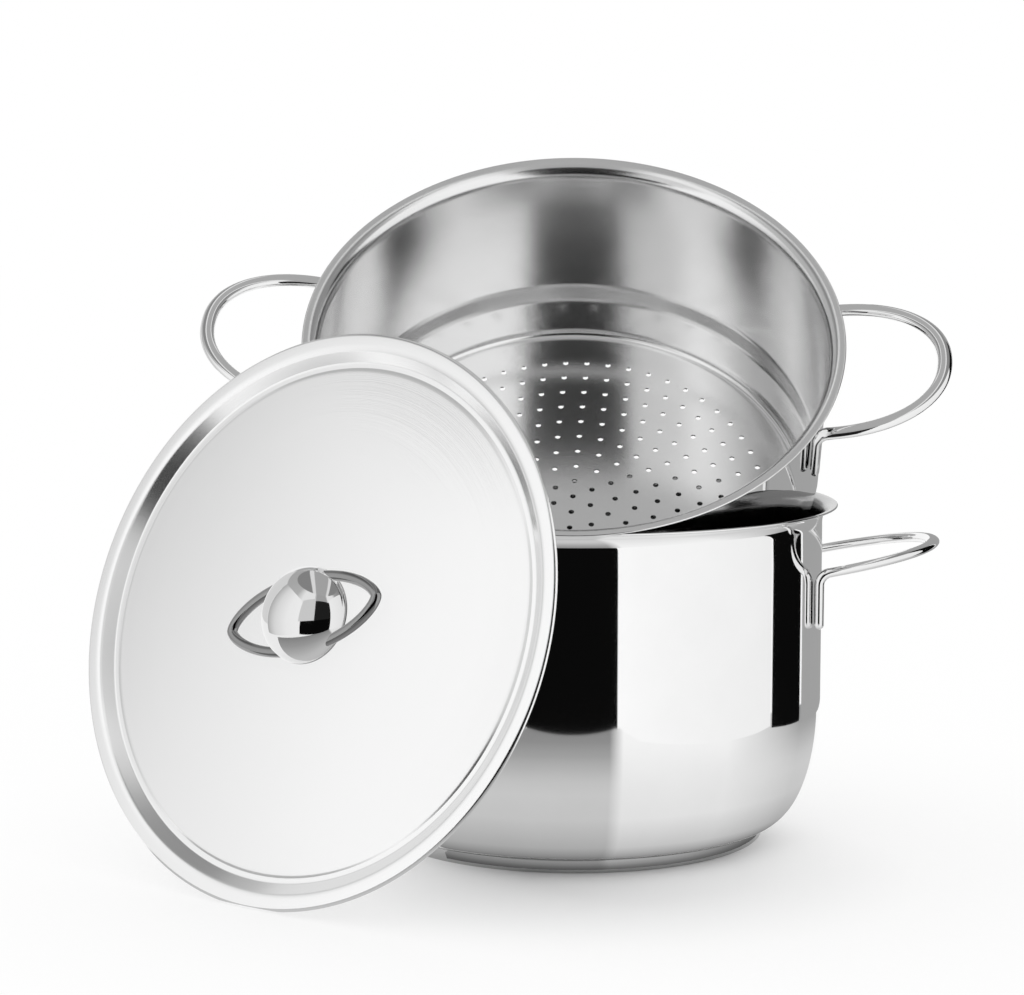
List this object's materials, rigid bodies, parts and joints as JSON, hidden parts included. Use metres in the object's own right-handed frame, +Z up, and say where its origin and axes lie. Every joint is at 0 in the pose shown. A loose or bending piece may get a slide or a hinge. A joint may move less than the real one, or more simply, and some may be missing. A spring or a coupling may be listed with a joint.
{
  "type": "couscous pot",
  "caption": "Polished steel couscous pot: a stock pot with wire handles, a perforated steamer tilted in its mouth, and a lid with a domed ring knob leaning against them.",
  "frame": {"origin": "centre of the underside of the pot's base disc, on the floor", "axes": "+Z up along the pot's axis, +X towards the pot's right handle as seen from the front, -Y to the front"},
  "size_m": [0.4023, 0.3319, 0.3256],
  "materials": {
    "mirror_steel": "mirror-polished stainless steel",
    "satin_steel": "satin stainless steel, turned marks",
    "core_aluminium": "plain rolled aluminium"
  },
  "bodies": {
    "pot": {"pot_body": "mirror_steel", "pot_base_cap": "mirror_steel", "pot_base_core": "core_aluminium", "pot_handle_right": "mirror_steel", "pot_handle_left": "mirror_steel"},
    "steamer": {"steamer_body": "satin_steel", "steamer_handle_right": "mirror_steel", "steamer_handle_left": "mirror_steel"},
    "lid": {"lid_disc": "satin_steel", "lid_knob_collar": "mirror_steel", "lid_ring": "mirror_steel", "lid_knob_dome": "mirror_steel", "lid_screw": "satin_steel", "lid_washer": "satin_steel"}
  },
  "joints": [
    {"name": "steamer_lift", "type": "slide", "parent": "pot", "child": "steamer", "axis": [0, 0.6428, 0.766], "range_m": [0, 0.15]},
    {"name": "lid_lift", "type": "slide", "parent": "pot", "child": "lid", "axis": [-0.541, -0.7726, 0.3322], "range_m": [0, 0.15]}
  ]
}
